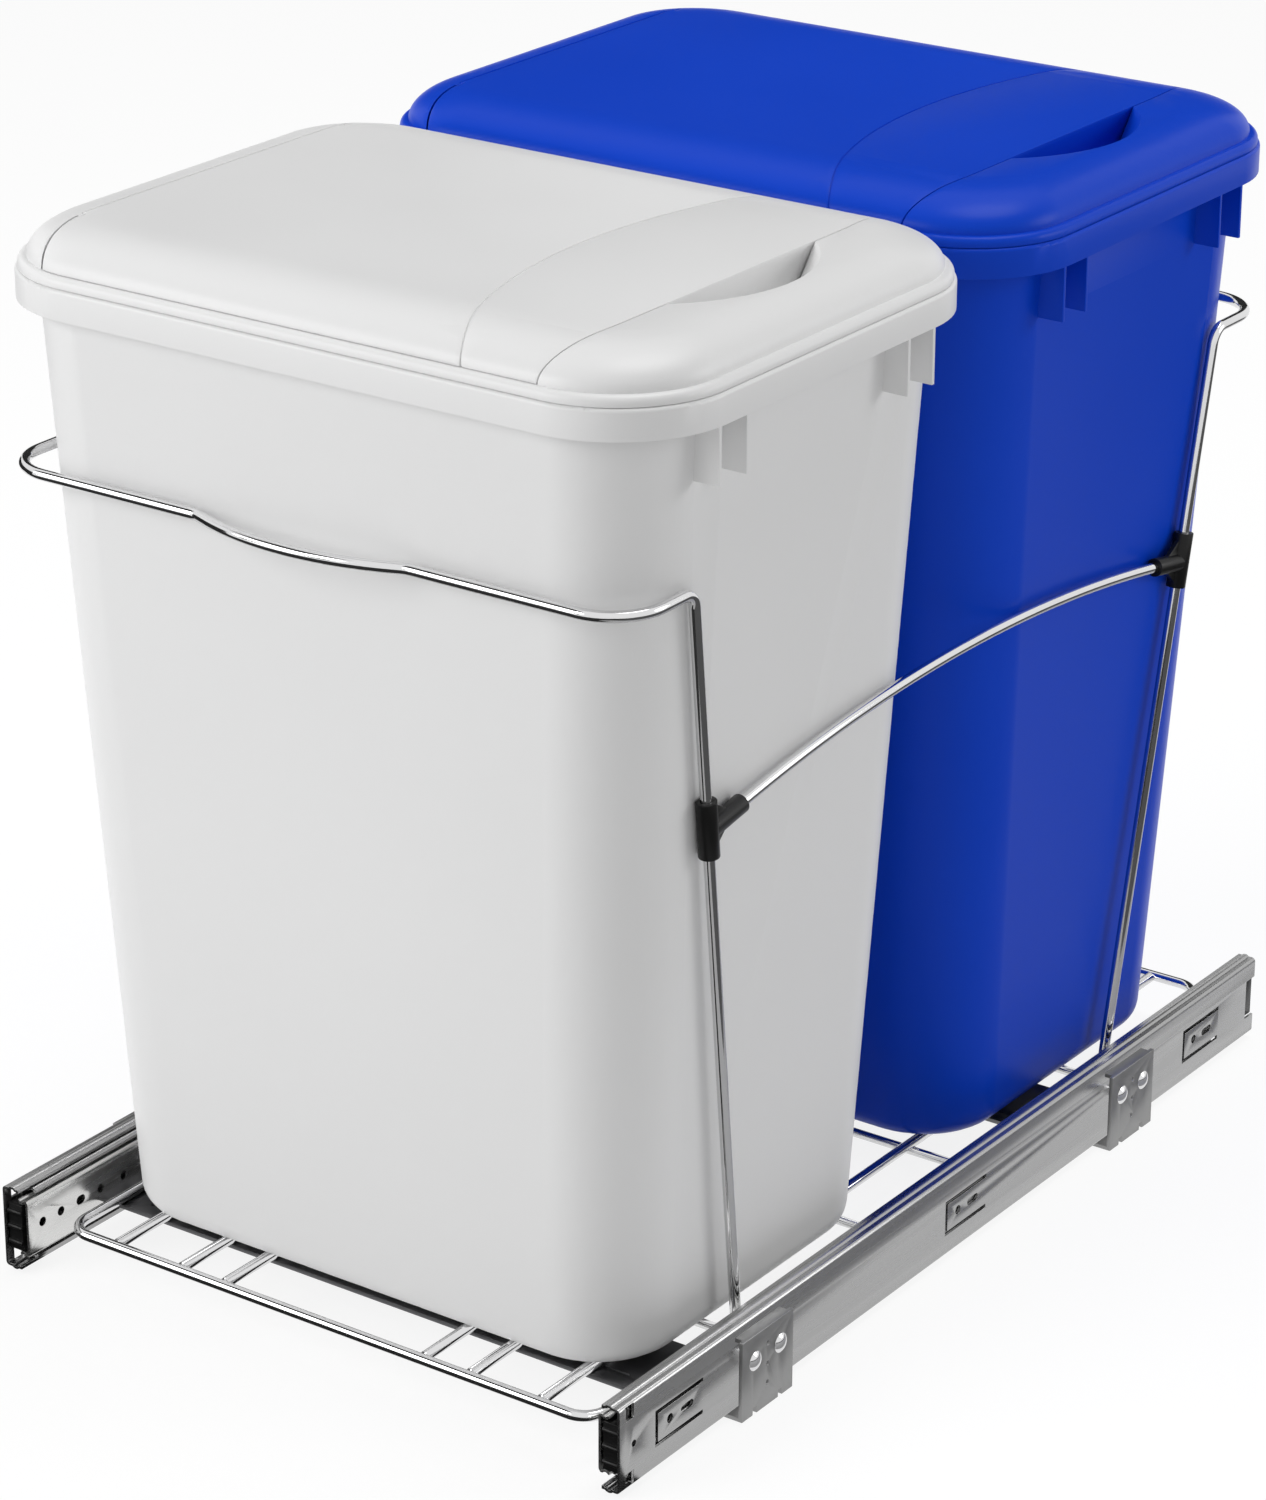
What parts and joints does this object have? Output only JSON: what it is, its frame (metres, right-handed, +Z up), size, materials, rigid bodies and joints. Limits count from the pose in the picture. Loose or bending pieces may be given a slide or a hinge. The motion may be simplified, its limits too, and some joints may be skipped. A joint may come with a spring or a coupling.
{
  "type": "pull-out bin frame",
  "caption": "Pull-out cabinet frame on full-extension ball-bearing slides: a wire base with hoops holds lidded waste bins on floor brackets.",
  "frame": {"origin": "on the cabinet floor, under the middle of the slides", "axes": "+X to the right-hand slide, -Y the way the frame is pulled, +Z up"},
  "size_m": [0.3682, 0.5588, 0.5026],
  "materials": {
    "white_plastic": "satin",
    "blue_plastic": "satin",
    "chrome_wire": "polished",
    "slide_zinc": "satin zinc plate",
    "bracket_steel": "satin zinc plate",
    "plate_steel": "satin zinc plate",
    "black_plastic": "satin",
    "ball_steel": "polished"
  },
  "bodies": {
    "root": {"outer_channel_left": "slide_zinc", "outer_channel_right": "slide_zinc", "bracket_rivets": "bracket_steel", "rear_stop_left": "black_plastic", "rear_stop_right": "black_plastic", "floor_bracket_front_left": "bracket_steel", "floor_bracket_front_right": "bracket_steel", "floor_bracket_rear_left": "bracket_steel", "floor_bracket_rear_right": "bracket_steel"},
    "carriage": {"inner_channel_left": "slide_zinc", "inner_channel_right": "slide_zinc", "base_rim_wire": "chrome_wire", "long_wires_left": "chrome_wire", "long_wires_right": "chrome_wire", "plate_rivets": "bracket_steel", "cross_plate_front": "plate_steel", "cross_plate_rear": "plate_steel", "hoop_front": "chrome_wire", "hoop_rear": "chrome_wire", "brace_left": "chrome_wire", "brace_right": "chrome_wire", "cross_wire_front": "chrome_wire", "cross_wire_front_middle": "chrome_wire", "cross_wire_rear_middle": "chrome_wire", "cross_wire_rear": "chrome_wire", "clip_front_left": "black_plastic", "clip_front_right": "black_plastic", "clip_rear_left": "black_plastic", "clip_rear_right": "black_plastic"},
    "middle_left": {"middle_channel_left": "slide_zinc", "front_bumper_left": "black_plastic"},
    "outer_cage_left": {"outer_cage_left": "slide_zinc", "outer_balls_left": "ball_steel"},
    "inner_cage_left": {"inner_cage_left": "slide_zinc", "inner_balls_left": "ball_steel"},
    "middle_right": {"middle_channel_right": "slide_zinc", "front_bumper_right": "black_plastic"},
    "outer_cage_right": {"outer_cage_right": "slide_zinc", "outer_balls_right": "ball_steel"},
    "inner_cage_right": {"inner_cage_right": "slide_zinc", "inner_balls_right": "ball_steel"},
    "front_bin": {"front_bin": "white_plastic"},
    "front_lid": {"front_lid_rim": "white_plastic"},
    "front_flap": {"front_lid_flap": "white_plastic"},
    "rear_bin": {"rear_bin": "blue_plastic"},
    "rear_lid": {"rear_lid_rim": "blue_plastic"},
    "rear_flap": {"rear_lid_flap": "blue_plastic"}
  },
  "joints": [
    {"name": "carriage_slide", "type": "slide", "parent": "root", "child": "carriage", "axis": [0, -1, 0], "range_m": [0, 0.5588]},
    {"name": "middle_left_slide", "type": "slide", "parent": "root", "child": "middle_left", "axis": [0, -1, 0], "range_m": [0, 0.2795]},
    {"name": "outer_cage_left_slide", "type": "slide", "parent": "root", "child": "outer_cage_left", "axis": [0, -1, 0], "range_m": [0, 0.1398]},
    {"name": "inner_cage_left_slide", "type": "slide", "parent": "root", "child": "inner_cage_left", "axis": [0, -1, 0], "range_m": [0, 0.4192]},
    {"name": "middle_right_slide", "type": "slide", "parent": "root", "child": "middle_right", "axis": [0, -1, 0], "range_m": [0, 0.2795]},
    {"name": "outer_cage_right_slide", "type": "slide", "parent": "root", "child": "outer_cage_right", "axis": [0, -1, 0], "range_m": [0, 0.1398]},
    {"name": "inner_cage_right_slide", "type": "slide", "parent": "root", "child": "inner_cage_right", "axis": [0, -1, 0], "range_m": [0, 0.4192]},
    {"name": "front_bin_lift", "type": "slide", "parent": "carriage", "child": "front_bin", "axis": [0, 0, 1], "range_m": [0, 0.45]},
    {"name": "front_lid_lift", "type": "slide", "parent": "front_bin", "child": "front_lid", "axis": [0, 0, 1], "range_m": [0, 0.08]},
    {"name": "front_flap_hinge", "type": "hinge", "parent": "front_lid", "child": "front_flap", "pos_m": [-0.1502, -0.1348, 0.5014], "axis": [0, -1, 0], "range_deg": [0, 90]},
    {"name": "rear_bin_lift", "type": "slide", "parent": "carriage", "child": "rear_bin", "axis": [0, 0, 1], "range_m": [0, 0.45]},
    {"name": "rear_lid_lift", "type": "slide", "parent": "rear_bin", "child": "rear_lid", "axis": [0, 0, 1], "range_m": [0, 0.08]},
    {"name": "rear_flap_hinge", "type": "hinge", "parent": "rear_lid", "child": "rear_flap", "pos_m": [-0.1502, 0.1348, 0.5014], "axis": [0, -1, 0], "range_deg": [0, 90]}
  ],
  "couplings": [
    {"joint": "middle_left_slide", "follows": "carriage_slide", "ratio": 0.5},
    {"joint": "outer_cage_left_slide", "follows": "carriage_slide", "ratio": 0.25},
    {"joint": "inner_cage_left_slide", "follows": "carriage_slide", "ratio": 0.75},
    {"joint": "middle_right_slide", "follows": "carriage_slide", "ratio": 0.5},
    {"joint": "outer_cage_right_slide", "follows": "carriage_slide", "ratio": 0.25},
    {"joint": "inner_cage_right_slide", "follows": "carriage_slide", "ratio": 0.75}
  ]
}
